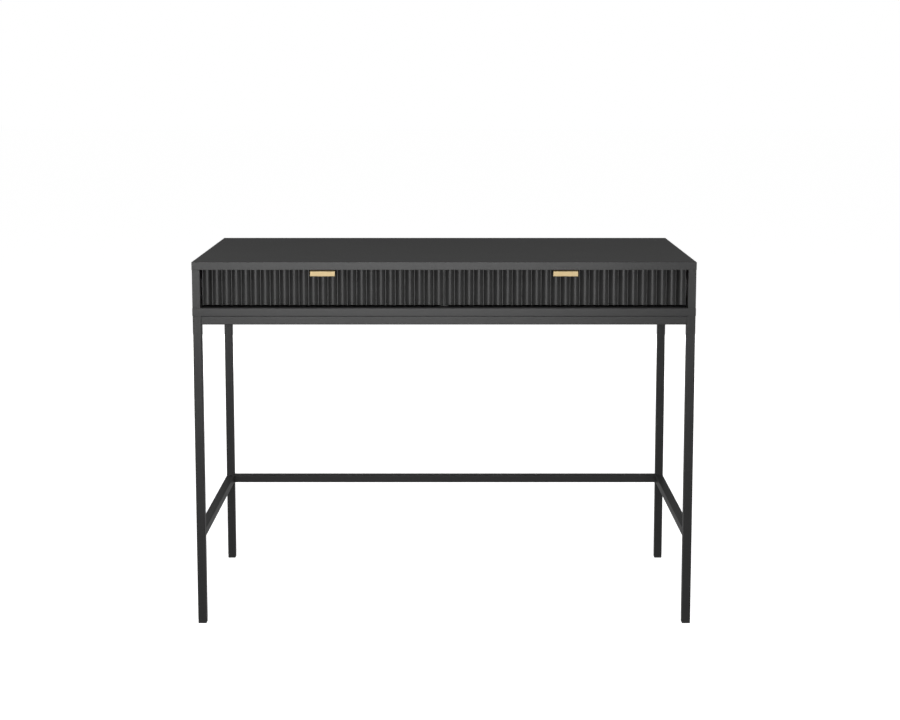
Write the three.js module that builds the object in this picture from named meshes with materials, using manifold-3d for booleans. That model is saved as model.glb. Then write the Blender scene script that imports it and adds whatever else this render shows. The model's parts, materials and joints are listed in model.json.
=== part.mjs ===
// Writing desk: a shallow two-drawer box of 16 mm boards on an open frame of square steel tube.
// Millimetres, +Z up, +X to the right, and the front faces -Y.
// The origin is on the floor, under the middle of the desktop.

import * as THREE from 'three';
import { mergeVertices } from 'three/addons/utils/BufferGeometryUtils.js';
import Module from 'manifold-3d';

const wasm = await Module();
wasm.setup();

// ---------------------------------------------------------------------------
// Driving dimensions
// ---------------------------------------------------------------------------

const DESK = { width: 1040, depth: 500, height: 768 };
const BOARD = 16;
const OPENING_HEIGHT = 80;
const SIDE_INSET = 0.5;

const TUBE = { side: 18, wall: 1.5, cornerRadius: 1.6 };
const REAR_LEG_INSET = 9;
const STRETCHER_BOTTOM_Z = 185;
const FOOT = { height: 9, shrink: 0.2, chamfer: 1, plugSide: 14.6, plugLength: 14 };

const DRAWER_FRONT = {
  width: 500,
  height: 74,
  thickness: 16,
  recess: 18,
  centreGap: 1.5,
  bottomGap: 4,
};
const FLUTE = { count: 25, chord: 18.3, depth: 4.6 };

const DRAWER_BOX = { length: 400, height: 60, sheet: 12, liftAboveShelf: 9 };
const DRAWER_BOTTOM = { sheet: 5, lift: 8, grooveDepth: 6, tongue: 5.5, clearance: 0.2 };

const RUNNER = { thickness: 12.7, sheet: 1.2, length: 398, frontGap: 2, holeRadius: 2.3 };
const CABINET_CHANNEL = { height: 35, depth: 9.5, lip: 1.6, holes: [-160, -32, 128] };
const MIDDLE_CHANNEL = { height: 27, depth: 6.5, lip: 1.6, offset: 4.2, holes: [-96, 96] };
const DRAWER_CHANNEL = { height: 19, depth: 6, lip: 0, holes: [-160, 0, 160] };

const HANDLE = {
  width: 51,
  sheet: 1.2,
  reach: 14,
  lipHeight: 13.2,
  innerBend: 3,
  seat: 14,
  screwSpread: 16,
  screwInset: 10,
};

const FRAME_SCREW = {
  spread: 300,
  shankRadius: 2.2,
  shankLength: 14.5,
  tipLength: 4,
  accessRadius: 5,
  headRadius: 4.5,
  headHeight: 2.7,
  slotLength: 5,
  slotWidth: 1,
  slotDepth: 1.4,
};
const HANDLE_SCREW = {
  shankRadius: 1.3,
  shankLength: 12,
  tipLength: 3,
  headRadius: 2.6,
  headHeight: 1,
  slotLength: 3.2,
  slotWidth: 0.6,
  slotDepth: 0.7,
};
const HOLE_CLEARANCE = 0.15;
const HOLE_OVERRUN = 1;

const ROUND_SEGMENTS = 24;
const FLUTE_SEGMENTS = 12;
const TUBE_CORNER_SEGMENTS = 4;
const HANDLE_BEND_SEGMENTS = 10;
const MERGE_TOLERANCE = 1e-3;

// ---------------------------------------------------------------------------
// Heights and planes worked out from them
// ---------------------------------------------------------------------------

const FRONT_Y = -DESK.depth / 2;
const REAR_Y = DESK.depth / 2;
const TOP_PANEL_Z = DESK.height - BOARD;
const SHELF_Z = TOP_PANEL_Z - OPENING_HEIGHT;
const FRAME_TOP_Z = SHELF_Z - BOARD;

const OUTER_X = DESK.width / 2 - SIDE_INSET;
const COMPARTMENT_OUTER_X = OUTER_X - BOARD;
const COMPARTMENT_INNER_X = BOARD / 2;
const COMPARTMENT_CENTRE_X = (COMPARTMENT_OUTER_X + COMPARTMENT_INNER_X) / 2;
const COMPARTMENT_WIDTH = COMPARTMENT_OUTER_X - COMPARTMENT_INNER_X;

const DRAWER_FACE_Y = FRONT_Y + DRAWER_FRONT.recess;
const DRAWER_BACKING_Y = DRAWER_FACE_Y + DRAWER_FRONT.thickness;
const DRAWER_FRONT_Z = SHELF_Z + DRAWER_FRONT.bottomGap;
const DRAWER_FRONT_TOP_Z = DRAWER_FRONT_Z + DRAWER_FRONT.height;
const DRAWER_FRONT_X = (DRAWER_FRONT.width + DRAWER_FRONT.centreGap) / 2;
const DRAWER_BOX_Z = SHELF_Z + DRAWER_BOX.liftAboveShelf;
const DRAWER_BOX_WIDTH = COMPARTMENT_WIDTH - 2 * RUNNER.thickness;
const RUNNER_Z = DRAWER_BOX_Z + DRAWER_BOX.height / 2;

const LEG_X = OUTER_X - TUBE.side / 2;
const FRONT_LEG_Y = FRONT_Y + TUBE.side / 2;
const REAR_LEG_Y = REAR_Y - REAR_LEG_INSET - TUBE.side / 2;
const CROSS_RAIL_LENGTH = 2 * (OUTER_X - TUBE.side);
const SIDE_RAIL_LENGTH = REAR_LEG_Y - FRONT_LEG_Y - TUBE.side;
const SIDE_RAIL_Y = (REAR_LEG_Y + FRONT_LEG_Y) / 2;
const TOP_RAIL_Z = FRAME_TOP_Z - TUBE.side / 2;
const STRETCHER_Z = STRETCHER_BOTTOM_Z + TUBE.side / 2;

const LEFT = -1;
const RIGHT = 1;
const HALF_TURN = Math.PI;
const QUARTER_TURN = Math.PI / 2;

// ---------------------------------------------------------------------------
// Finishes
// ---------------------------------------------------------------------------

const LAMINATE = { color: 0x2a2a2b, roughness: 0.55, metalness: 0 };
const POWDER_COAT = { color: 0x262627, roughness: 0.6, metalness: 0.1 };
const FLUTED_PAINT = { color: 0x282829, roughness: 0.5, metalness: 0 };
const DRAWER_LINING = { color: 0x323233, roughness: 0.7, metalness: 0 };
const HARDBOARD = { color: 0x3a3836, roughness: 0.8, metalness: 0 };
const BRASS = { color: 0xd9bd84, roughness: 0.35, metalness: 1 };
const ZINC = { color: 0xb9bcc0, roughness: 0.4, metalness: 1 };
const BLACK_STEEL = { color: 0x202020, roughness: 0.45, metalness: 0.8 };
const FOOT_PLASTIC = { color: 0x1d1d1e, roughness: 0.65, metalness: 0 };

// ---------------------------------------------------------------------------
// Solids
// ---------------------------------------------------------------------------

function toSolid(geometry) {
  const bare = geometry.clone();
  bare.deleteAttribute('normal');
  bare.deleteAttribute('uv');
  const merged = mergeVertices(bare, MERGE_TOLERANCE);
  const mesh = new wasm.Mesh({
    numProp: 3,
    vertProperties: new Float32Array(merged.attributes.position.array),
    triVerts: new Uint32Array(merged.index.array),
  });
  return new wasm.Manifold(mesh);
}

function toGeometry(solid) {
  const mesh = solid.getMesh();
  const geometry = new THREE.BufferGeometry();
  geometry.setAttribute('position', new THREE.BufferAttribute(mesh.vertProperties, 3));
  geometry.setIndex(new THREE.BufferAttribute(mesh.triVerts, 1));
  geometry.computeVertexNormals();
  return geometry;
}

// The first geometry with the others cut out of it.
function cut(geometry, ...tools) {
  let solid = toSolid(geometry);
  for (const tool of tools) {
    solid = solid.subtract(toSolid(tool));
  }
  return toGeometry(solid);
}

function join(first, second) {
  return toGeometry(toSolid(first).add(toSolid(second)));
}

function box(width, depth, height) {
  return new THREE.BoxGeometry(width, depth, height);
}

// A box given by its two extreme corners.
function boxBetween(low, high) {
  const geometry = box(high[0] - low[0], high[1] - low[1], high[2] - low[2]);
  return geometry.translate(
    (low[0] + high[0]) / 2,
    (low[1] + high[1]) / 2,
    (low[2] + high[2]) / 2,
  );
}

// A cylinder along Z that starts at its lower end.
function upright(radius, height, x, y, z) {
  const geometry = new THREE.CylinderGeometry(radius, radius, height, ROUND_SEGMENTS);
  geometry.rotateX(QUARTER_TURN);
  return geometry.translate(x, y, z + height / 2);
}

function roundedSquare(side, radius) {
  const half = side / 2;
  const inner = half - radius;
  const shape = new THREE.Shape();
  shape.moveTo(half, -inner);
  shape.absarc(inner, inner, radius, 0, QUARTER_TURN, false);
  shape.absarc(-inner, inner, radius, QUARTER_TURN, HALF_TURN, false);
  shape.absarc(-inner, -inner, radius, HALF_TURN, HALF_TURN + QUARTER_TURN, false);
  shape.absarc(inner, -inner, radius, -QUARTER_TURN, 0, false);
  return shape;
}

function squarePath(side) {
  const half = side / 2;
  const path = new THREE.Path();
  path.moveTo(-half, -half);
  path.lineTo(-half, half);
  path.lineTo(half, half);
  path.lineTo(half, -half);
  path.closePath();
  return path;
}

// An outline drawn in X and Z, run along Y about the middle of its length.
function extrudeAlongY(shape, length) {
  const geometry = new THREE.ExtrudeGeometry(shape, { depth: length, bevelEnabled: false });
  geometry.translate(0, 0, -length / 2);
  return geometry.rotateX(QUARTER_TURN);
}

// An outline drawn in Y and Z, run along X about the middle of its length.
function extrudeAlongX(shape, length, curveSegments) {
  const geometry = new THREE.ExtrudeGeometry(shape, {
    depth: length,
    bevelEnabled: false,
    curveSegments,
  });
  geometry.translate(0, 0, -length / 2);
  geometry.rotateX(QUARTER_TURN);
  return geometry.rotateZ(QUARTER_TURN);
}

// Square tube with open ends, along Z about its middle.
function squareTube(length) {
  const section = roundedSquare(TUBE.side, TUBE.cornerRadius);
  section.holes.push(squarePath(TUBE.side - 2 * TUBE.wall));
  const geometry = new THREE.ExtrudeGeometry(section, {
    depth: length,
    bevelEnabled: false,
    curveSegments: TUBE_CORNER_SEGMENTS,
  });
  return geometry.translate(0, 0, -length / 2);
}

function addPiece(group, name, geometry, finish, x = 0, y = 0, z = 0) {
  const piece = new THREE.Mesh(geometry, new THREE.MeshStandardMaterial(finish));
  piece.name = name;
  piece.position.set(x, y, z);
  group.add(piece);
  return piece;
}

// ---------------------------------------------------------------------------
// Screws
// ---------------------------------------------------------------------------

// Two crossed slots in the top of a screw head whose top is at z = 0.
function crossRecess(screw) {
  const across = box(screw.slotLength, screw.slotWidth, 2 * screw.slotDepth);
  const along = box(screw.slotWidth, screw.slotLength, 2 * screw.slotDepth);
  return [across, along];
}

// Head top at z = 0, point down. The profile runs from the point, up the shank and over the head.
function screwGeometry(screw, headProfile) {
  const tipZ = -screw.headHeight - screw.shankLength;
  const profile = [
    new THREE.Vector2(0, tipZ),
    new THREE.Vector2(screw.shankRadius, tipZ + screw.tipLength),
    ...headProfile.map(([radius, z]) => new THREE.Vector2(radius, z)),
    new THREE.Vector2(0, 0),
  ];
  const geometry = new THREE.LatheGeometry(profile, ROUND_SEGMENTS);
  geometry.rotateX(QUARTER_TURN);
  return cut(geometry, ...crossRecess(screw));
}

function panHeadScrew(screw) {
  const seatZ = -screw.headHeight;
  return screwGeometry(screw, [
    [screw.shankRadius, seatZ],
    [screw.headRadius, seatZ],
    [screw.headRadius, seatZ / 2],
    [screw.headRadius * 0.75, 0],
  ]);
}

function countersunkScrew(screw) {
  return screwGeometry(screw, [
    [screw.shankRadius, -screw.headHeight],
    [screw.headRadius, 0],
  ]);
}

// The places of the screws that hold the frame to the bottom panel. Each head sits inside its rail,
// against the rail's upper wall, and goes in through a larger hole in the lower wall.
const FRAME_SCREW_PLACES = [
  ['front_left', -FRAME_SCREW.spread, FRONT_LEG_Y],
  ['front_right', FRAME_SCREW.spread, FRONT_LEG_Y],
  ['rear_left', -FRAME_SCREW.spread, REAR_LEG_Y],
  ['rear_right', FRAME_SCREW.spread, REAR_LEG_Y],
  ['left', -LEG_X, SIDE_RAIL_Y],
  ['right', LEG_X, SIDE_RAIL_Y],
];

function addFrameScrews(desk) {
  for (const [place, x, y] of FRAME_SCREW_PLACES) {
    const screw = panHeadScrew(FRAME_SCREW);
    screw.rotateX(HALF_TURN);
    const headZ = FRAME_TOP_Z - TUBE.wall - FRAME_SCREW.headHeight;
    addPiece(desk, `${place}_frame_screw`, screw, BLACK_STEEL, x, y, headZ);
  }
}

// ---------------------------------------------------------------------------
// Carcass
// ---------------------------------------------------------------------------

function bottomPanel() {
  const depthInBoard = FRAME_SCREW.shankLength - TUBE.wall + HOLE_CLEARANCE;
  const board = box(DESK.width, DESK.depth, BOARD).translate(0, 0, BOARD / 2);
  const pilots = FRAME_SCREW_PLACES.map(([, x, y]) => upright(
    FRAME_SCREW.shankRadius + HOLE_CLEARANCE,
    depthInBoard + HOLE_OVERRUN,
    x,
    y,
    -HOLE_OVERRUN,
  ));
  return cut(board, ...pilots);
}

function addCarcass(desk) {
  const openingMiddleZ = SHELF_Z + OPENING_HEIGHT / 2;
  const sideX = OUTER_X - BOARD / 2;
  const top = box(DESK.width, DESK.depth, BOARD);
  addPiece(desk, 'top_panel', top, LAMINATE, 0, 0, TOP_PANEL_Z + BOARD / 2);
  addPiece(desk, 'bottom_panel', bottomPanel(), LAMINATE, 0, 0, FRAME_TOP_Z);
  for (const [name, side] of [['left', LEFT], ['right', RIGHT]]) {
    const panel = box(BOARD, DESK.depth, OPENING_HEIGHT);
    addPiece(desk, `${name}_side_panel`, panel, LAMINATE, side * sideX, 0, openingMiddleZ);
  }
  const back = box(2 * COMPARTMENT_OUTER_X, BOARD, OPENING_HEIGHT);
  addPiece(desk, 'back_panel', back, LAMINATE, 0, REAR_Y - BOARD / 2, openingMiddleZ);
  const dividerFrontY = DRAWER_BACKING_Y + RUNNER.frontGap;
  const dividerRearY = REAR_Y - BOARD;
  const divider = box(BOARD, dividerRearY - dividerFrontY, OPENING_HEIGHT);
  const dividerY = (dividerFrontY + dividerRearY) / 2;
  addPiece(desk, 'centre_divider', divider, LAMINATE, 0, dividerY, openingMiddleZ);
}

// ---------------------------------------------------------------------------
// Frame
// ---------------------------------------------------------------------------

// Visible foot with a chamfered sole, and the plug that holds it in the leg.
function footCap() {
  const side = TUBE.side - 2 * FOOT.shrink;
  const solid = new THREE.ExtrudeGeometry(
    roundedSquare(side - 2 * FOOT.chamfer, TUBE.cornerRadius - FOOT.chamfer),
    {
      depth: FOOT.height - FOOT.chamfer,
      bevelThickness: FOOT.chamfer,
      bevelSize: FOOT.chamfer,
      bevelSegments: 1,
      curveSegments: TUBE_CORNER_SEGMENTS,
    },
  ).translate(0, 0, FOOT.chamfer);
  const squareTop = FOOT.height + FOOT.chamfer;
  const head = cut(solid, boxBetween([-side, -side, FOOT.height], [side, side, squareTop]));
  const half = FOOT.plugSide / 2;
  const plugTop = FOOT.height + FOOT.plugLength;
  const plug = boxBetween([-half, -half, FOOT.height - FOOT.chamfer], [half, half, plugTop]);
  return join(head, plug);
}

function addLegs(desk) {
  const length = FRAME_TOP_Z - FOOT.height;
  const middleZ = FOOT.height + length / 2;
  const rows = [['front', FRONT_LEG_Y], ['rear', REAR_LEG_Y]];
  const sides = [['left', LEFT], ['right', RIGHT]];
  for (const [row, y] of rows) {
    for (const [name, side] of sides) {
      const x = side * LEG_X;
      addPiece(desk, `${row}_${name}_leg`, squareTube(length), POWDER_COAT, x, y, middleZ);
      addPiece(desk, `${row}_${name}_foot_cap`, footCap(), FOOT_PLASTIC, x, y, 0);
    }
  }
}

// A rail with a screw's hole in its upper wall and the screw's access hole in its lower wall.
function drilled(rail, x, y) {
  const length = TUBE.side / 2 + HOLE_OVERRUN;
  const hole = upright(FRAME_SCREW.shankRadius + HOLE_CLEARANCE, length, x, y, 0);
  const access = upright(FRAME_SCREW.accessRadius, length, x, y, -length);
  return cut(rail, hole, access);
}

function addTopRails(desk) {
  for (const [name, y] of [['front', FRONT_LEG_Y], ['rear', REAR_LEG_Y]]) {
    let rail = squareTube(CROSS_RAIL_LENGTH).rotateY(QUARTER_TURN);
    rail = drilled(rail, -FRAME_SCREW.spread, 0);
    rail = drilled(rail, FRAME_SCREW.spread, 0);
    addPiece(desk, `${name}_top_rail`, rail, POWDER_COAT, 0, y, TOP_RAIL_Z);
  }
  for (const [name, side] of [['left', LEFT], ['right', RIGHT]]) {
    const rail = drilled(squareTube(SIDE_RAIL_LENGTH).rotateX(QUARTER_TURN), 0, 0);
    addPiece(desk, `${name}_top_rail`, rail, POWDER_COAT, side * LEG_X, SIDE_RAIL_Y, TOP_RAIL_Z);
  }
}

// The low stretchers join the legs at the sides and the rear. The front stays open for the feet.
function addStretchers(desk) {
  for (const [name, side] of [['left', LEFT], ['right', RIGHT]]) {
    const stretcher = squareTube(SIDE_RAIL_LENGTH).rotateX(QUARTER_TURN);
    const x = side * LEG_X;
    addPiece(desk, `${name}_stretcher`, stretcher, POWDER_COAT, x, SIDE_RAIL_Y, STRETCHER_Z);
  }
  const rear = squareTube(CROSS_RAIL_LENGTH).rotateY(QUARTER_TURN);
  addPiece(desk, 'rear_stretcher', rear, POWDER_COAT, 0, REAR_LEG_Y, STRETCHER_Z);
}

// ---------------------------------------------------------------------------
// Drawers
// ---------------------------------------------------------------------------

// Plan of a drawer front: a flat back, and upright hollow flutes with a narrow flat land on each side
// of every flute. The face is at y = 0 and the back at y = thickness.
function flutedPlan() {
  const land = (DRAWER_FRONT.width - FLUTE.count * FLUTE.chord) / (FLUTE.count + 1);
  const pitch = FLUTE.chord + land;
  const halfChord = FLUTE.chord / 2;
  const radius = (halfChord ** 2 + FLUTE.depth ** 2) / (2 * FLUTE.depth);
  const centreY = FLUTE.depth - radius;
  const sweepStart = Math.atan2(-centreY, -halfChord);
  const sweepEnd = Math.atan2(-centreY, halfChord);
  const half = DRAWER_FRONT.width / 2;
  const plan = new THREE.Shape();
  plan.moveTo(-half, DRAWER_FRONT.thickness);
  plan.lineTo(-half, 0);
  for (let i = 0; i < FLUTE.count; i += 1) {
    const centreX = -half + land + halfChord + pitch * i;
    plan.absarc(centreX, centreY, radius, sweepStart, sweepEnd, true);
  }
  plan.lineTo(half, 0);
  plan.lineTo(half, DRAWER_FRONT.thickness);
  plan.closePath();
  return plan;
}

function drawerFront() {
  const board = new THREE.ExtrudeGeometry(flutedPlan(), {
    depth: DRAWER_FRONT.height,
    bevelEnabled: false,
    curveSegments: FLUTE_SEGMENTS / 2,
  });
  const depth = HANDLE_SCREW.shankLength + HOLE_CLEARANCE;
  const pilots = [LEFT, RIGHT].map((side) => upright(
    HANDLE_SCREW.shankRadius + HOLE_CLEARANCE,
    depth + HOLE_OVERRUN,
    side * HANDLE.screwSpread,
    HANDLE.screwInset,
    DRAWER_FRONT.height - depth,
  ));
  return cut(board, ...pilots);
}

// Edge pull bent from sheet: it lies on the drawer front's top edge (z = 0), reaches out over the
// face (y = 0) and ends in a lip for the fingers.
function handleProfile() {
  const { sheet, reach, lipHeight, innerBend, seat } = HANDLE;
  const bendY = -reach + sheet + innerBend;
  const outerBend = innerBend + sheet;
  const lipMiddleY = -reach + sheet / 2;
  const lipEndZ = sheet - lipHeight + sheet / 2;
  const profile = new THREE.Shape();
  profile.moveTo(seat, 0);
  profile.absarc(bendY, -innerBend, innerBend, QUARTER_TURN, HALF_TURN, false);
  profile.absarc(lipMiddleY, lipEndZ, sheet / 2, 0, HALF_TURN, true);
  profile.absarc(bendY, -innerBend, outerBend, HALF_TURN, QUARTER_TURN, true);
  profile.lineTo(seat, sheet);
  profile.closePath();
  return profile;
}

// The countersink leaves a little room all round the screw head.
function countersink(x) {
  const { shankRadius, headRadius } = HANDLE_SCREW;
  const cone = new THREE.CylinderGeometry(
    headRadius + HOLE_CLEARANCE,
    shankRadius + HOLE_CLEARANCE,
    HANDLE.sheet,
    ROUND_SEGMENTS,
  );
  cone.rotateX(QUARTER_TURN);
  return cone.translate(x, HANDLE.screwInset, HANDLE.sheet / 2);
}

function handleGeometry() {
  const sheet = extrudeAlongX(handleProfile(), HANDLE.width, HANDLE_BEND_SEGMENTS);
  const holes = [LEFT, RIGHT].map((side) => countersink(side * HANDLE.screwSpread));
  return cut(sheet, ...holes);
}

// A side of the drawer box with the groove that holds the bottom. inward is the way the groove faces.
function drawerSide(inward) {
  const { length, height, sheet } = DRAWER_BOX;
  const board = box(sheet, length, height).translate(0, 0, height / 2);
  const groove = grooveBox(length + 2 * HOLE_OVERRUN);
  groove.translate(inward * (sheet / 2 - DRAWER_BOTTOM.grooveDepth / 2), 0, 0);
  return cut(board, groove);
}

// The groove's width runs past the face that it opens on.
function grooveBox(length) {
  const { sheet, lift, grooveDepth, clearance } = DRAWER_BOTTOM;
  const half = grooveDepth / 2 + HOLE_CLEARANCE;
  return boxBetween(
    [-half, -length / 2, lift - clearance],
    [half, length / 2, lift + sheet + clearance],
  );
}

function drawerBoxFront() {
  const { height, sheet } = DRAWER_BOX;
  const width = DRAWER_BOX_WIDTH - 2 * sheet;
  const board = box(width, sheet, height).translate(0, 0, height / 2);
  const groove = grooveBox(width + 2 * HOLE_OVERRUN).rotateZ(QUARTER_TURN);
  groove.translate(0, sheet / 2 - DRAWER_BOTTOM.grooveDepth / 2, 0);
  return cut(board, groove);
}

// The back stands on the bottom, which slides in under it.
function addDrawerBox(desk, name, side) {
  const { length, height, sheet } = DRAWER_BOX;
  const bottomTop = DRAWER_BOTTOM.lift + DRAWER_BOTTOM.sheet;
  const middleX = side * COMPARTMENT_CENTRE_X;
  const middleY = DRAWER_BACKING_Y + length / 2;
  const sideX = DRAWER_BOX_WIDTH / 2 - sheet / 2;
  for (const [place, hand] of [['left', LEFT], ['right', RIGHT]]) {
    const board = drawerSide(-hand);
    const x = middleX + hand * sideX;
    addPiece(desk, `${name}_drawer_${place}_side`, board, DRAWER_LINING, x, middleY, DRAWER_BOX_Z);
  }
  const frontY = DRAWER_BACKING_Y + sheet / 2;
  const boxFront = drawerBoxFront();
  addPiece(desk, `${name}_drawer_box_front`, boxFront, DRAWER_LINING, middleX, frontY, DRAWER_BOX_Z);
  const backHeight = height - bottomTop;
  const back = box(DRAWER_BOX_WIDTH - 2 * sheet, sheet, backHeight);
  const backY = DRAWER_BACKING_Y + length - sheet / 2;
  const backZ = DRAWER_BOX_Z + bottomTop + backHeight / 2;
  addPiece(desk, `${name}_drawer_back`, back, DRAWER_LINING, middleX, backY, backZ);
  const bottomWidth = DRAWER_BOX_WIDTH - 2 * sheet + 2 * DRAWER_BOTTOM.tongue;
  const bottomFrontY = DRAWER_BACKING_Y + sheet - DRAWER_BOTTOM.tongue;
  const bottomRearY = DRAWER_BACKING_Y + length;
  const bottom = box(bottomWidth, bottomRearY - bottomFrontY, DRAWER_BOTTOM.sheet);
  const bottomY = (bottomFrontY + bottomRearY) / 2;
  const bottomZ = DRAWER_BOX_Z + DRAWER_BOTTOM.lift + DRAWER_BOTTOM.sheet / 2;
  addPiece(desk, `${name}_drawer_bottom`, bottom, HARDBOARD, middleX, bottomY, bottomZ);
}

function addDrawerFace(desk, name, side) {
  const x = side * DRAWER_FRONT_X;
  addPiece(desk, `${name}_drawer_front`, drawerFront(), FLUTED_PAINT, x, DRAWER_FACE_Y, DRAWER_FRONT_Z);
  addPiece(desk, `${name}_handle`, handleGeometry(), BRASS, x, DRAWER_FACE_Y, DRAWER_FRONT_TOP_Z);
  const screwY = DRAWER_FACE_Y + HANDLE.screwInset;
  const screwZ = DRAWER_FRONT_TOP_Z + HANDLE_SCREW.headHeight + HOLE_CLEARANCE;
  for (const [place, hand] of [['left', LEFT], ['right', RIGHT]]) {
    const screw = countersunkScrew(HANDLE_SCREW);
    const screwX = x + hand * HANDLE.screwSpread;
    addPiece(desk, `${name}_handle_${place}_screw`, screw, BRASS, screwX, screwY, screwZ);
  }
}

// ---------------------------------------------------------------------------
// Ball-bearing drawer runners
// ---------------------------------------------------------------------------

// Section of a channel: the web stands at x = offset, the flanges point to +X, and each ends in a lip
// that turns back towards the middle.
function channelShape({ height, depth, lip, offset = 0 }) {
  const half = height / 2;
  const flange = half - RUNNER.sheet;
  const web = offset + RUNNER.sheet;
  const tip = offset + depth;
  const lipX = lip > 0 ? tip - RUNNER.sheet : tip;
  const lipZ = flange - lip;
  const shape = new THREE.Shape();
  shape.moveTo(offset, -half);
  shape.lineTo(tip, -half);
  shape.lineTo(tip, -lipZ);
  if (lip > 0) {
    shape.lineTo(lipX, -lipZ);
    shape.lineTo(lipX, -flange);
  }
  shape.lineTo(web, -flange);
  shape.lineTo(web, flange);
  if (lip > 0) {
    shape.lineTo(lipX, flange);
    shape.lineTo(lipX, lipZ);
  }
  shape.lineTo(tip, lipZ);
  shape.lineTo(tip, half);
  shape.lineTo(offset, half);
  shape.closePath();
  return shape;
}

// A runner member about the middle of its length, with round screw holes through the web.
function runnerMember(channel) {
  const { offset = 0, holes } = channel;
  const drills = holes.map((y) => {
    const length = RUNNER.sheet + 2 * HOLE_OVERRUN;
    const drill = new THREE.CylinderGeometry(
      RUNNER.holeRadius,
      RUNNER.holeRadius,
      length,
      ROUND_SEGMENTS,
    );
    drill.rotateZ(QUARTER_TURN);
    return drill.translate(offset + RUNNER.sheet / 2, y, 0);
  });
  return cut(extrudeAlongY(channelShape(channel), RUNNER.length), ...drills);
}

// One runner as three nested channels. wallX is the wall that it is screwed to, and facing is the
// way from that wall to the drawer.
function addRunner(desk, name, wallX, facing) {
  const y = DRAWER_BACKING_Y + RUNNER.frontGap + RUNNER.length / 2;
  const turn = facing > 0 ? 0 : HALF_TURN;
  const members = [
    ['cabinet', CABINET_CHANNEL, wallX, turn],
    ['middle', MIDDLE_CHANNEL, wallX, turn],
    ['drawer', DRAWER_CHANNEL, wallX + facing * RUNNER.thickness, HALF_TURN - turn],
  ];
  for (const [member, channel, x, rotation] of members) {
    const geometry = runnerMember(channel);
    const piece = addPiece(desk, `${name}_${member}_runner`, geometry, ZINC, x, y, RUNNER_Z);
    piece.rotation.z = rotation;
  }
}

// The runner on a side panel is the outer one of its drawer, and the one on the divider the inner.
function addRunners(desk, name, side) {
  addRunner(desk, `${name}_drawer_outer`, side * COMPARTMENT_OUTER_X, -side);
  addRunner(desk, `${name}_drawer_inner`, side * COMPARTMENT_INNER_X, side);
}

// ---------------------------------------------------------------------------
// The desk
// ---------------------------------------------------------------------------

const desk = new THREE.Group();
addCarcass(desk);
addLegs(desk);
addTopRails(desk);
addStretchers(desk);
addFrameScrews(desk);
for (const [name, side] of [['left', LEFT], ['right', RIGHT]]) {
  addDrawerFace(desk, name, side);
  addDrawerBox(desk, name, side);
  addRunners(desk, name, side);
}

export default desk;
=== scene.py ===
"""Looks of the writing desk: finishes, edge softening, small visible details, camera and light.

Everything is in metres in the CAD frame: +X right, -Y front, +Z up, floor at z = 0.
"""

import json
import math

import bmesh
import bpy
from mathutils import Matrix, Vector


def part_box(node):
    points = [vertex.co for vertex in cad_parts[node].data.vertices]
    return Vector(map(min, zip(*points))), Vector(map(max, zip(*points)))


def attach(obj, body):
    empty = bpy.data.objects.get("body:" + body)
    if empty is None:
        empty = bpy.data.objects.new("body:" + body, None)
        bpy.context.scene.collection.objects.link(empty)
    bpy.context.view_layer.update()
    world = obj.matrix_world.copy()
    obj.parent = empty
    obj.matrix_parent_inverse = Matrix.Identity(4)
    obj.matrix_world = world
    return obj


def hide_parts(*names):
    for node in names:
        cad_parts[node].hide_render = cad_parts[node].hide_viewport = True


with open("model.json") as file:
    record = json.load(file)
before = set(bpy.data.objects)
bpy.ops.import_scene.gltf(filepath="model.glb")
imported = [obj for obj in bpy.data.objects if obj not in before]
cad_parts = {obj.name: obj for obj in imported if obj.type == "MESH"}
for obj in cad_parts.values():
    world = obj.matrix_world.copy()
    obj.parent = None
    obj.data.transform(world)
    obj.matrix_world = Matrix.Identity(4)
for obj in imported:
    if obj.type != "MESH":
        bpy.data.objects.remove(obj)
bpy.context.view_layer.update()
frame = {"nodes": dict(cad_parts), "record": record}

# One millimetre, in the scene's metres.
MM = 0.001

# ---------------------------------------------------------------------------
# Camera
# ---------------------------------------------------------------------------

CAMERA_PLACE = (0.0122, -3.6195, 1.1572)
CAMERA_PITCH = math.radians(6.86)
# Focal length in millimetres, on Blender's 36 mm sensor, and shift as a part of the frame's width.
CAMERA_LENS = 65.97
CAMERA_SHIFT_Y = -0.1


def make_camera():
    """The camera stands in front of the desk, above its top, and looks slightly down."""
    data = bpy.data.cameras.new("camera")
    data.lens = CAMERA_LENS
    data.shift_y = CAMERA_SHIFT_Y
    camera = bpy.data.objects.new("camera", data)
    camera.location = CAMERA_PLACE
    camera.rotation_euler = (math.pi / 2 - CAMERA_PITCH, 0, 0)
    bpy.context.scene.collection.objects.link(camera)
    bpy.context.scene.camera = camera


# ---------------------------------------------------------------------------
# Node helpers
# ---------------------------------------------------------------------------


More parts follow.
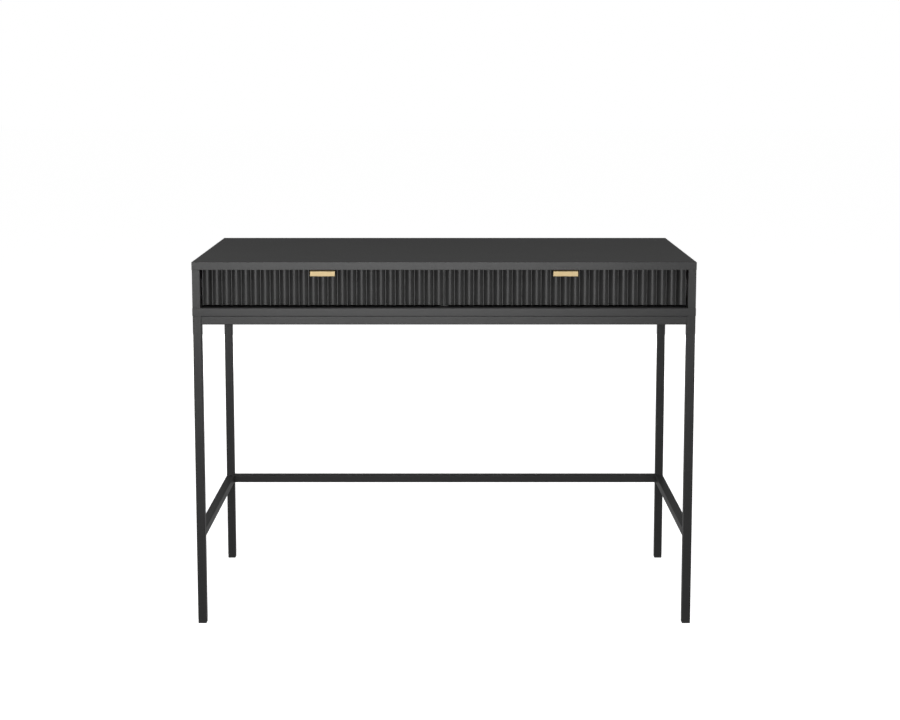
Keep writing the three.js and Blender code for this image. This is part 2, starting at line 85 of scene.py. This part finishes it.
class Finish:
    """A node material with one Principled shader, and short calls that add the nodes it needs."""

    def __init__(self, name, **shader_values):
        self.material = bpy.data.materials.new(name)
        self.material.use_nodes = True
        self.tree = self.material.node_tree
        self.shader = self.tree.nodes["Principled BSDF"]
        for socket, value in shader_values.items():
            self.shader.inputs[socket.replace("_", " ")].default_value = value
        self.place = self.node("ShaderNodeTexCoord").outputs["Object"]

    def node(self, kind, **settings):
        node = self.tree.nodes.new(kind)
        for name, value in settings.items():
            setattr(node, name, value)
        return node

    def link(self, source, target):
        self.tree.links.new(source, target)

    def stretched(self, scale):
        """Object coordinates in metres, times a scale for each axis."""
        mapping = self.node("ShaderNodeMapping")
        self.link(self.place, mapping.inputs["Vector"])
        mapping.inputs["Scale"].default_value = scale
        return mapping.outputs["Vector"]

    def noise(self, size_mm, detail=2.0, roughness=0.5, stretch=(1, 1, 1)):
        """Noise from 0 to 1 whose features are about size_mm across, drawn out by stretch."""
        noise = self.node("ShaderNodeTexNoise")
        scale = [1 / (size_mm * MM * times) for times in stretch]
        self.link(self.stretched(scale), noise.inputs["Vector"])
        noise.inputs["Scale"].default_value = 1.0
        noise.inputs["Detail"].default_value = detail
        noise.inputs["Roughness"].default_value = roughness
        return noise.outputs["Fac"]

    def ranged(self, value, to, where=(0.3, 0.7)):
        """The value carried from the range where to the range to, and held at its ends."""
        ranged = self.node("ShaderNodeMapRange")
        self.link(value, ranged.inputs["Value"])
        ranged.inputs["From Min"].default_value, ranged.inputs["From Max"].default_value = where
        ranged.inputs["To Min"].default_value, ranged.inputs["To Max"].default_value = to
        return ranged.outputs["Result"]

    def combined(self, operation, first, second):
        """The two values added or multiplied. Each is a number or a socket."""
        node = self.node("ShaderNodeMath", operation=operation)
        for socket, value in zip(node.inputs, (first, second)):
            if isinstance(value, (int, float)):
                socket.default_value = value
            else:
                self.link(value, socket)
        return node.outputs["Value"]

    def added(self, first, second):
        return self.combined("ADD", first, second)

    def multiplied(self, first, second):
        return self.combined("MULTIPLY", first, second)

    def blended(self, factor, first, second):
        """A colour between first and second, where each is a colour or a socket."""
        mix = self.node("ShaderNodeMix", data_type="RGBA")
        self.link(factor, mix.inputs["Factor"])
        for name, colour in (("A", first), ("B", second)):
            socket = next(s for s in mix.inputs if s.name == name and s.type == "RGBA")
            if isinstance(colour, (tuple, list)):
                socket.default_value = (*colour, 1.0)
            else:
                self.link(colour, socket)
        return next(s for s in mix.outputs if s.type == "RGBA")

    def bump(self, height, distance_mm):
        bump = self.node("ShaderNodeBump")
        self.link(height, bump.inputs["Height"])
        bump.inputs["Distance"].default_value = distance_mm * MM
        bump.inputs["Strength"].default_value = 1.0
        self.link(bump.outputs["Normal"], self.shader.inputs["Normal"])

    def colour(self, socket):
        self.link(socket, self.shader.inputs["Base Color"])

    def roughness(self, socket):
        self.link(socket, self.shader.inputs["Roughness"])


def grey(value, warmth=0.0):
    """A near-neutral colour: warmth above 0 is warmer, below 0 cooler."""
    return (value * (1 + warmth), value, value * (1 - warmth))


def around(middle, spread):
    """The two ends of a range."""
    return (middle - spread, middle + spread)


# ---------------------------------------------------------------------------
# Finishes
# ---------------------------------------------------------------------------


def laminate(name, shade=0.026, rough=0.35):
    """Matt black laminate: a pearl texture finer than a millimetre, and faint broad unevenness."""
    finish = Finish(name, Specular_IOR_Level=0.5)
    pearl = finish.noise(size_mm=0.9, detail=3.0, roughness=0.6)
    cloud = finish.noise(size_mm=140, detail=3.0)
    speck = finish.noise(size_mm=2.2, detail=1.0)
    base = finish.blended(finish.ranged(cloud, to=(0, 1)), grey(shade * 0.94), grey(shade * 1.06))
    specks = finish.ranged(speck, to=(0, 0.35), where=(0.55, 0.8))
    finish.colour(finish.blended(specks, base, grey(shade * 1.5)))
    broad_gloss = finish.ranged(cloud, to=around(rough, 0.012))
    fine_gloss = finish.ranged(pearl, to=around(0, 0.04))
    finish.roughness(finish.added(broad_gloss, fine_gloss))
    finish.bump(pearl, distance_mm=0.05)
    return finish.material


def powder_coat(name, shade=0.024, rough=0.33):
    """Powder coat on steel: orange peel about a millimetre across and fine satin speckle."""
    finish = Finish(name, Specular_IOR_Level=0.5)
    peel = finish.noise(size_mm=1.4, detail=2.0, roughness=0.45)
    speckle = finish.noise(size_mm=0.35, detail=1.0)
    broad = finish.noise(size_mm=60, detail=2.0)
    uneven = finish.ranged(broad, to=(0, 1))
    finish.colour(finish.blended(uneven, grey(shade * 0.93), grey(shade * 1.07)))
    peel_gloss = finish.ranged(peel, to=around(rough, 0.05))
    speckle_gloss = finish.ranged(speckle, to=around(0, 0.03))
    finish.roughness(finish.added(peel_gloss, speckle_gloss))
    finish.bump(finish.added(peel, finish.multiplied(speckle, 0.3)), distance_mm=0.06)
    return finish.material


def satin_paint(name, shade=0.023, rough=0.34):
    """Sprayed satin paint on milled fibreboard: the fibres telegraph faintly along the flutes."""
    finish = Finish(name, Specular_IOR_Level=0.5)
    fibres = finish.noise(size_mm=0.6, detail=3.0, roughness=0.6, stretch=(1, 1, 6))
    peel = finish.noise(size_mm=2.5, detail=1.0)
    broad = finish.noise(size_mm=45, detail=2.0)
    uneven = finish.ranged(broad, to=(0, 1))
    finish.colour(finish.blended(uneven, grey(shade * 0.95), grey(shade * 1.05)))
    broad_gloss = finish.ranged(broad, to=around(rough, 0.03))
    fibre_gloss = finish.ranged(fibres, to=around(0, 0.03))
    finish.roughness(finish.added(broad_gloss, fibre_gloss))
    finish.bump(finish.added(fibres, peel), distance_mm=0.05)
    return finish.material


# The two tones of the brass on the crests of its brush strokes, and the two in their grooves.
BRASS_CREST = [(0.81, 0.65, 0.385), (0.78, 0.62, 0.36)]
BRASS_GROOVE = [(0.74, 0.58, 0.33), (0.70, 0.54, 0.30)]


def brushed_brass(name):
    """Pale satin brass, brushed along X: hair lines under wider strokes, and a slow drift of tone."""
    finish = Finish(name, Metallic=1.0, Anisotropic=0.4)
    hair_lines = finish.noise(size_mm=0.12, detail=3.0, roughness=0.7, stretch=(60, 1, 1))
    strokes = finish.noise(size_mm=0.5, detail=3.0, roughness=0.6, stretch=(50, 1, 1))
    tone = finish.ranged(finish.noise(size_mm=9, detail=2.0), to=(0, 1))
    crest = finish.blended(tone, *BRASS_CREST)
    groove = finish.blended(tone, *BRASS_GROOVE)
    finish.colour(finish.blended(finish.ranged(strokes, to=(0, 1)), groove, crest))
    line_gloss = finish.ranged(hair_lines, to=around(0.5, 0.04))
    stroke_gloss = finish.ranged(strokes, to=(0, 0.1))
    finish.roughness(finish.added(line_gloss, stroke_gloss))
    finish.bump(finish.added(hair_lines, strokes), distance_mm=0.012)
    return finish.material


def zinc(name):
    """Rolled and zinc-plated sheet: streaks along the roll, faint spangle."""
    finish = Finish(name, Metallic=1.0)
    roll = finish.noise(size_mm=0.4, detail=3.0, roughness=0.6, stretch=(1, 50, 1))
    spangle = finish.ranged(finish.noise(size_mm=7, detail=2.0), to=(0, 1))
    finish.colour(finish.blended(spangle, grey(0.6, warmth=-0.02), grey(0.72, warmth=-0.01)))
    finish.roughness(finish.ranged(roll, to=(0.3, 0.45)))
    finish.bump(roll, distance_mm=0.01)
    return finish.material


def black_steel(name):
    """Blackened screw steel with a faint oily unevenness."""
    finish = Finish(name, Metallic=0.7)
    patch = finish.noise(size_mm=1.5, detail=2.0)
    finish.colour(finish.blended(finish.ranged(patch, to=(0, 1)), grey(0.03), grey(0.05)))
    finish.roughness(finish.ranged(patch, to=(0.35, 0.5)))
    finish.bump(patch, distance_mm=0.01)
    return finish.material


# How far up from the floor a foot is painted paler, as light bounced up from the floor.
FLOOR_BOUNCE_HEIGHT = 3 * MM


def foot_plastic(name):
    """Moulded black plastic with a spark-eroded texture, and painted floor bounce light: paler in
    patches just above the floor.
    """
    finish = Finish(name, Specular_IOR_Level=0.4)
    texture = finish.noise(size_mm=0.5, detail=2.0)
    height = finish.node("ShaderNodeSeparateXYZ")
    finish.link(finish.place, height.inputs["Vector"])
    # Painted light: within a few millimetres of the floor the colour is made paler, in noise patches,
    # for light bounced up from the floor.
    floor_bounce = finish.ranged(height.outputs["Z"], to=(1, 0), where=(0, FLOOR_BOUNCE_HEIGHT))
    bounce_patches = finish.ranged(finish.noise(size_mm=1.2), to=(0, 0.6), where=(0.4, 0.7))
    finish.colour(finish.blended(finish.multiplied(floor_bounce, bounce_patches), grey(0.03), grey(0.12)))
    finish.roughness(finish.ranged(texture, to=(0.55, 0.7)))
    finish.bump(texture, distance_mm=0.03)
    return finish.material


def hardboard(name):
    """Foil-faced hardboard with a faint linen print."""
    finish = Finish(name, Specular_IOR_Level=0.3)
    across = finish.ranged(finish.noise(size_mm=0.8, stretch=(8, 1, 1)), to=(0.6, 1))
    along = finish.ranged(finish.noise(size_mm=0.8, stretch=(1, 8, 1)), to=(0.6, 1))
    linen = finish.multiplied(across, along)
    finish.colour(finish.blended(linen, grey(0.045, warmth=0.03), grey(0.075, warmth=0.03)))
    finish.roughness(finish.ranged(linen, to=(0.55, 0.7), where=(0.4, 1)))
    finish.bump(linen, distance_mm=0.02)
    return finish.material


# One finish for each material slot of the record.
FINISHES = {
    "black_laminate": laminate("black_laminate"),
    "black_powder_coat": powder_coat("black_powder_coat"),
    "foot_plastic": foot_plastic("foot_plastic"),
    "black_screw": black_steel("black_screw"),
    "fluted_front": satin_paint("fluted_front"),
    "brass": brushed_brass("brass"),
    "drawer_lining": laminate("drawer_lining", shade=0.035, rough=0.55),
    "drawer_bottom": hardboard("drawer_bottom"),
    "runner_steel": zinc("runner_steel"),
}


# ---------------------------------------------------------------------------
# CAD nodes: soft edges, smooth rounds and their finishes
# ---------------------------------------------------------------------------

# How wide the softened edges of each slot are, in millimetres.
BEVEL_MM = {
    "black_laminate": 0.4,
    "black_powder_coat": 0.25,
    "foot_plastic": 0.3,
    "black_screw": 0.12,
    "fluted_front": 0.2,
    "brass": 0.12,
    "drawer_lining": 0.4,
    "drawer_bottom": 0.2,
    "runner_steel": 0.15,
}
BEVEL_SEGMENTS = 3
SHARP_ANGLE = math.radians(32)
WELD_DISTANCE = 0.001 * MM


def smoothing_group():
    """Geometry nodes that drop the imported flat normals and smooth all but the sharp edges."""
    group = bpy.data.node_groups.new("smooth_by_angle", "GeometryNodeTree")
    group.interface.new_socket("Geometry", in_out="INPUT", socket_type="NodeSocketGeometry")
    group.interface.new_socket("Geometry", in_out="OUTPUT", socket_type="NodeSocketGeometry")
    nodes, links = group.nodes, group.links
    start = nodes.new("NodeGroupInput")
    drop = nodes.new("GeometryNodeRemoveAttribute")
    drop.inputs["Name"].default_value = "custom_normal"
    faces = nodes.new("GeometryNodeSetShadeSmooth")
    faces.domain = "FACE"
    edges = nodes.new("GeometryNodeSetShadeSmooth")
    edges.domain = "EDGE"
    angle = nodes.new("GeometryNodeInputMeshEdgeAngle")
    soft = nodes.new("FunctionNodeCompare")
    soft.operation = "LESS_THAN"
    soft.inputs["B"].default_value = SHARP_ANGLE
    end = nodes.new("NodeGroupOutput")
    links.new(start.outputs["Geometry"], drop.inputs["Geometry"])
    links.new(drop.outputs["Geometry"], faces.inputs["Geometry"])
    links.new(faces.outputs["Geometry"], edges.inputs["Geometry"])
    links.new(angle.outputs["Unsigned Angle"], soft.inputs["A"])
    links.new(soft.outputs["Result"], edges.inputs["Shade Smooth"])
    links.new(edges.outputs["Geometry"], end.inputs["Geometry"])
    return group


SMOOTHING = smoothing_group()


def soften(node, width_mm):
    """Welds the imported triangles, rounds the sharp edges and shades the flats flat."""
    weld = node.modifiers.new("weld", "WELD")
    weld.merge_threshold = WELD_DISTANCE
    bevel = node.modifiers.new("soft_edges", "BEVEL")
    bevel.width = width_mm * MM
    bevel.segments = BEVEL_SEGMENTS
    bevel.limit_method = "ANGLE"
    bevel.angle_limit = SHARP_ANGLE
    smooth = node.modifiers.new("smooth_rounds", "NODES")
    smooth.node_group = SMOOTHING
    normals = node.modifiers.new("flat_flats", "WEIGHTED_NORMAL")
    normals.keep_sharp = True


def finish_cad_nodes():
    """Gives each CAD node the finish of its material slot."""
    slots = {part["node"]: part["material_slot"] for part in frame["record"]["subparts"]}
    for name, node in frame["nodes"].items():
        slot = slots[name]
        node.data.materials.clear()
        node.data.materials.append(FINISHES[slot])
        soften(node, BEVEL_MM[slot])


# ---------------------------------------------------------------------------
# Pieces made here
# ---------------------------------------------------------------------------


def face_outwards(mesh):
    """Turns the faces of a closed mesh so that they all point out."""
    bm = bmesh.new()
    bm.from_mesh(mesh)
    bmesh.ops.recalc_face_normals(bm, faces=bm.faces)
    bm.to_mesh(mesh)
    bm.free()


def place_piece(name, mesh, slot, body):
    """Puts a mesh in the scene with its finish, its soft edges and the body that it moves with."""
    mesh.materials.append(FINISHES[slot])
    piece = bpy.data.objects.new(name, mesh)
    bpy.context.scene.collection.objects.link(piece)
    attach(piece, body)
    soften(piece, BEVEL_MM[slot])
    return piece


# ---------------------------------------------------------------------------
# The fluted drawer fronts, which replace coarser CAD nodes
# ---------------------------------------------------------------------------

FLUTES = 25
FLUTE_CHORD = 18.3 * MM
FLUTE_DEPTH = 4.6 * MM
FLUTE_STEPS = 28


def flute_arc(middle_x, face_y):
    """Points across one hollow flute, from its left land to its right land."""
    half = FLUTE_CHORD / 2
    radius = (half**2 + FLUTE_DEPTH**2) / (2 * FLUTE_DEPTH)
    reach = math.asin(half / radius)
    arc_y = face_y + FLUTE_DEPTH - radius
    for step in range(FLUTE_STEPS + 1):
        angle = reach * (2 * step / FLUTE_STEPS - 1)
        yield middle_x + radius * math.sin(angle), arc_y + radius * math.cos(angle)


def face_outline(low, high):
    """The front edge of a fluted front seen from above: flutes between flat lands."""
    land = (high.x - low.x - FLUTES * FLUTE_CHORD) / (FLUTES + 1)
    outline = [(low.x, low.y)]
    for flute in range(FLUTES):
        middle_x = low.x + land + FLUTE_CHORD / 2 + flute * (land + FLUTE_CHORD)
        outline.extend(flute_arc(middle_x, low.y))
    outline.append((high.x, low.y))
    return outline


def fluted_front(side):
    """A drawer front with hollow upright flutes: a row of four-cornered slices along X."""
    node = f"{side}_drawer_front"
    low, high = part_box(node)
    outline = face_outline(low, high)
    points = []
    for x, y in outline:
        points += [(x, y, low.z), (x, y, high.z), (x, high.y, high.z), (x, high.y, low.z)]
    faces = []
    last = 4 * (len(outline) - 1)
    for left in range(0, last, 4):
        for edge in range(4):
            after = (edge + 1) % 4
            faces.append((left + edge, left + 4 + edge, left + 4 + after, left + after))
    faces.append((0, 1, 2, 3))
    faces.append((last + 3, last + 2, last + 1, last))
    mesh = bpy.data.meshes.new(f"{side}_fluted_front")
    mesh.from_pydata(points, [], faces)
    face_outwards(mesh)
    front = place_piece(f"{side}_fluted_front", mesh, "fluted_front", f"{side}_drawer")
    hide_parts(node)


# ---------------------------------------------------------------------------
# Screws and release levers that the CAD leaves out
# ---------------------------------------------------------------------------

# Radius and height of each ring of a pan head, from its seat to its flat top, in millimetres.
PAN_HEAD_MM = [(3.3, 0), (3.4, 0.5), (3.1, 1.1), (2.5, 1.5), (2.0, 1.6)]
RECESS_MM = {"length": 1.55, "width": 0.4, "depth": 0.9}
HEAD_SEGMENTS = 24


def cross_outline(length, width):
    """The corners of a plus sign, anticlockwise."""
    arm = [(length, -width), (length, width), (width, width)]
    turns = [Matrix.Rotation(quarter * math.pi / 2, 2) for quarter in range(4)]
    return [turn @ Vector(corner) for turn in turns for corner in arm]


def circle_outline(radius):
    """The corners of a pan head's ring, anticlockwise."""
    turns = [2 * math.pi * i / HEAD_SEGMENTS for i in range(HEAD_SEGMENTS)]
    return [(radius * math.cos(turn), radius * math.sin(turn)) for turn in turns]


def add_pan_head(bm, seat, axis):
    """A cross-recess pan head that stands on seat and points along axis."""
    place = Matrix.Translation(seat) @ Vector(axis).to_track_quat("Z", "Y").to_matrix().to_4x4()

    def ring(outline, height):
        points = [Vector((x * MM, y * MM, height * MM)) for x, y in outline]
        return [bm.verts.new(place @ point) for point in points]

    def join(lower, upper):
        for i, corner in enumerate(lower):
            after = (i + 1) % len(lower)
            bm.faces.new((corner, lower[after], upper[after], upper[i]))

    def edges_of(corners):
        pairs = zip(corners, corners[1:] + corners[:1])
        return [bm.edges.get(pair) for pair in pairs]

    rings = [ring(circle_outline(radius), height) for radius, height in PAN_HEAD_MM]
    for lower, upper in zip(rings, rings[1:]):
        join(lower, upper)
    bm.faces.new(reversed(rings[0]))
    top = PAN_HEAD_MM[-1][1]
    cross = cross_outline(RECESS_MM["length"], RECESS_MM["width"])
    rim = ring(cross, top)
    floor = ring(cross, top - RECESS_MM["depth"])
    join(floor, rim)
    bm.faces.new(reversed(floor))
    bmesh.ops.triangle_fill(bm, edges=edges_of(rings[-1]) + edges_of(rim), use_beauty=True)


def pan_heads(name, heads, slot, body):
    """One piece with a pan head for each seat and axis in heads."""
    bm = bmesh.new()
    for seat, axis in heads:
        add_pan_head(bm, seat, axis)
    mesh = bpy.data.meshes.new(name)
    bm.to_mesh(mesh)
    bm.free()
    face_outwards(mesh)
    place_piece(name, mesh, slot, body)


RUNNER_SHEET = 1.2 * MM
# Where the screws sit along each member, from its middle.
RUNNER_HOLES = {
    "cabinet": [-160 * MM, -32 * MM, 128 * MM],
    "drawer": [-160 * MM, 0.0, 160 * MM],
}


def channel_seat(side, place, member):
    """The middle of a runner channel's web, on its hollow side, and the way that side faces in X."""
    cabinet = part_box(f"{side}_drawer_{place}_cabinet_runner")[0]
    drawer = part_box(f"{side}_drawer_{place}_drawer_runner")[0]
    towards_drawer = 1 if drawer.x > cabinet.x else -1
    way = towards_drawer if member == "cabinet" else -towards_drawer
    low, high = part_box(f"{side}_drawer_{place}_{member}_runner")
    web = low.x + RUNNER_SHEET if way > 0 else high.x - RUNNER_SHEET
    return Vector((web, (low.y + high.y) / 2, (low.z + high.z) / 2)), way


def runner_screws(side, member, body):
    """The screws through one member of each of a drawer's two runners."""
    heads = []
    for place in ("outer", "inner"):
        middle, way = channel_seat(side, place, member)
        heads += [(middle + Vector((0, hole, 0)), (way, 0, 0)) for hole in RUNNER_HOLES[member]]
    pan_heads(f"{side}_{member}_runner_screws", heads, "runner_steel", body)


# "ahead" is how far the lever's knob is in front of the middle of its runner member.
LEVER_MM = {"length": 54, "width": 6, "knob": 4.5, "sheet": 1.8, "ahead": 82}
LEVER_STEPS = 12


def lever_outline():
    """Side view of a release lever: a slim bar that ends in a round knob towards the front."""
    bar, knob = LEVER_MM["width"] / 2, LEVER_MM["knob"]
    neck = math.asin(bar / knob)
    rear = LEVER_MM["length"] - knob
    points = [(rear, -bar), (rear, bar)]
    for step in range(LEVER_STEPS + 1):
        turn = neck + (2 * math.pi - 2 * neck) * step / LEVER_STEPS
        points.append((knob * math.cos(turn), knob * math.sin(turn)))
    return points


def release_lever(side, place):
    """The black plastic lever in a runner's drawer member, which frees the drawer."""
    middle, way = channel_seat(side, place, "drawer")
    knob = middle - Vector((0, LEVER_MM["ahead"] * MM, 0))
    near = [knob + Vector((0, y * MM, z * MM)) for y, z in lever_outline()]
    far = [point + Vector((way * LEVER_MM["sheet"] * MM, 0, 0)) for point in near]
    count = len(near)
    walls = [(i, (i + 1) % count, count + (i + 1) % count, count + i) for i in range(count)]
    caps = [tuple(range(count)), tuple(reversed(range(count, 2 * count)))]
    name = f"{side}_{place}_release_lever"
    mesh = bpy.data.meshes.new(name)
    mesh.from_pydata(near + far, [], walls + caps)
    face_outwards(mesh)
    place_piece(name, mesh, "foot_plastic", f"{side}_drawer")


BACKWARDS = (0, 1, 0)
DOWNWARDS = (0, 0, -1)
# How far the screws are from the middle of the box front, and above its lower edge.
FRONT_FIXING_SPREAD = 160 * MM
FRONT_FIXING_HEIGHTS = [22 * MM, 48 * MM]


def front_fixing_screws(side):
    """The screws inside a drawer that hold its fluted front to the box."""
    low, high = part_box(f"{side}_drawer_box_front")
    middle_x = (low.x + high.x) / 2
    heads = [
        (Vector((middle_x + across, high.y, low.z + height)), BACKWARDS)
        for across in (-FRONT_FIXING_SPREAD, FRONT_FIXING_SPREAD)
        for height in FRONT_FIXING_HEIGHTS
    ]
    pan_heads(f"{side}_front_fixing_screws", heads, "runner_steel", f"{side}_drawer")


# Places along Y, from the middle of the desk.
DIVIDER_SCREW_PLACES = [-120 * MM, 40 * MM, 200 * MM]


def divider_screws():
    """The screws that come up through the bottom panel into the divider."""
    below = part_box("bottom_panel")[0].z
    low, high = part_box("centre_divider")
    middle_x = (low.x + high.x) / 2
    heads = [(Vector((middle_x, y, below)), DOWNWARDS) for y in DIVIDER_SCREW_PLACES]
    pan_heads("divider_screws", heads, "black_screw", "desk")


# ---------------------------------------------------------------------------
# Stage and light
# ---------------------------------------------------------------------------

FLOOR_SIZE = 60.0
FLOOR_GREY = 0.5
FLOOR_GLOW = 0.96
# The greys that light the desk from straight below, from the horizon and from straight above.
WORLD_BELOW = 0.5
WORLD_HORIZON = 0.155
WORLD_ABOVE = 0.03
# Where the horizon comes on a ramp from 0, straight below, to 1, straight above.
HORIZON_HEIGHT = 0.5

# Each light's name, place, target, width and height, and power in watts.
SOFTBOXES = [
    ("key", (-0.28, -3.6, 0.82), (-0.1, -0.25, 0.75), (2.1, 1.1), 38.5),
    ("left_fill", (-2.6, -1.6, 1.3), (0, 0, 0.6), (1.0, 1.4), 6),
    ("front_right", (2.6, -2.6, 1.95), (0, 0, 0.7), (2.8, 1.8), 4.5),
    ("rear_left", (-2.6, 2.4, 2.0), (0, 0, 0.6), (3.2, 2.4), 11),
    ("rear_right", (2.8, 2.0, 2.0), (0, 0, 0.6), (3.2, 2.4), 9),
    ("left_side", (-3.2, 0.8, 0.7), (0, 0, 0.65), (1.4, 0.9), 6),
    ("right_side", (3.2, 0.8, 0.7), (0, 0, 0.65), (1.4, 0.9), 6),
]
# These light the matt part of a finish and don't show in its sheen.
FILLS = [
    ("top_fill", (0, -0.75, 1.6), (0, -0.15, 0.77), (1.8, 0.5), 12),
    ("left_side_fill", (-3.2, 0.3, 1.1), (0, 0.3, 0.5), (2.0, 1.2), 37),
    ("right_side_fill", (3.2, 0.3, 1.1), (0, 0.3, 0.5), (2.0, 1.2), 37),
    ("back_fill", (0, 3.6, 0.6), (0, 0, 0.6), (2.4, 1.2), 70),
]


def make_floor():
    """A floor so pale that it melts into the backdrop. It doesn't light the desk: the world does."""
    mesh = bpy.data.meshes.new("floor")
    half = FLOOR_SIZE / 2
    corners = [(-half, -half, 0), (half, -half, 0), (half, half, 0), (-half, half, 0)]
    mesh.from_pydata(corners, [], [(0, 1, 2, 3)])
    floor = bpy.data.objects.new("floor", mesh)
    bpy.context.scene.collection.objects.link(floor)
    paint = Finish("floor_paint", Roughness=0.9, Specular_IOR_Level=0.0)
    paint.shader.inputs["Base Color"].default_value = (*grey(FLOOR_GREY), 1)
    paint.shader.inputs["Emission Color"].default_value = (*grey(1), 1)
    paint.shader.inputs["Emission Strength"].default_value = FLOOR_GLOW
    mesh.materials.append(paint.material)
    floor.visible_diffuse = False
    floor.visible_glossy = False


def make_world():
    """A white backdrop to look at. What lights the desk is grey: paler below and at the horizon."""
    world = bpy.data.worlds.new("studio")
    bpy.context.scene.world = world
    world.use_nodes = True
    nodes, links = world.node_tree.nodes, world.node_tree.links
    seen = nodes["Background"]
    seen.inputs["Color"].default_value = (*grey(1), 1)
    way = nodes.new("ShaderNodeTexCoord")
    height = nodes.new("ShaderNodeSeparateXYZ")
    upwards = nodes.new("ShaderNodeMapRange")
    upwards.inputs["From Min"].default_value = -1.0
    greys = nodes.new("ShaderNodeValToRGB")
    greys.color_ramp.elements[0].color = (*grey(WORLD_BELOW), 1)
    greys.color_ramp.elements[1].color = (*grey(WORLD_ABOVE), 1)
    greys.color_ramp.elements.new(HORIZON_HEIGHT).color = (*grey(WORLD_HORIZON), 1)
    lit = nodes.new("ShaderNodeBackground")
    ray = nodes.new("ShaderNodeLightPath")
    choose = nodes.new("ShaderNodeMixShader")
    links.new(way.outputs["Generated"], height.inputs["Vector"])
    links.new(height.outputs["Z"], upwards.inputs["Value"])
    links.new(upwards.outputs["Result"], greys.inputs["Fac"])
    links.new(greys.outputs["Color"], lit.inputs["Color"])
    links.new(ray.outputs["Is Camera Ray"], choose.inputs["Fac"])
    links.new(lit.outputs["Background"], choose.inputs[1])
    links.new(seen.outputs["Background"], choose.inputs[2])
    links.new(choose.outputs["Shader"], nodes["World Output"].inputs["Surface"])


def area_light(name, place, target, size, watts, glossy):
    """A softbox that the camera doesn't see. glossy says whether a sheen shows it."""
    data = bpy.data.lights.new(name, "AREA")
    data.shape = "RECTANGLE"
    data.size, data.size_y = size
    data.energy = watts
    light = bpy.data.objects.new(name, data)
    light.location = place
    aim = Vector(target) - Vector(place)
    light.rotation_euler = aim.to_track_quat("-Z", "Y").to_euler()
    light.visible_camera = False
    light.visible_glossy = glossy
    bpy.context.scene.collection.objects.link(light)


def make_lights():
    """The softboxes, which a sheen shows, and the fills, which it doesn't."""
    for softbox in SOFTBOXES:
        area_light(*softbox, glossy=True)
    for fill in FILLS:
        area_light(*fill, glossy=False)


# ---------------------------------------------------------------------------
# The scene
# ---------------------------------------------------------------------------

bpy.context.scene.view_settings.view_transform = "Standard"
make_camera()
finish_cad_nodes()
for drawer in ("left", "right"):
    fluted_front(drawer)
    runner_screws(drawer, "cabinet", "desk")
    runner_screws(drawer, "drawer", f"{drawer}_drawer")
    release_lever(drawer, "outer")
    release_lever(drawer, "inner")
    front_fixing_screws(drawer)
divider_screws()
make_floor()
make_world()
make_lights()
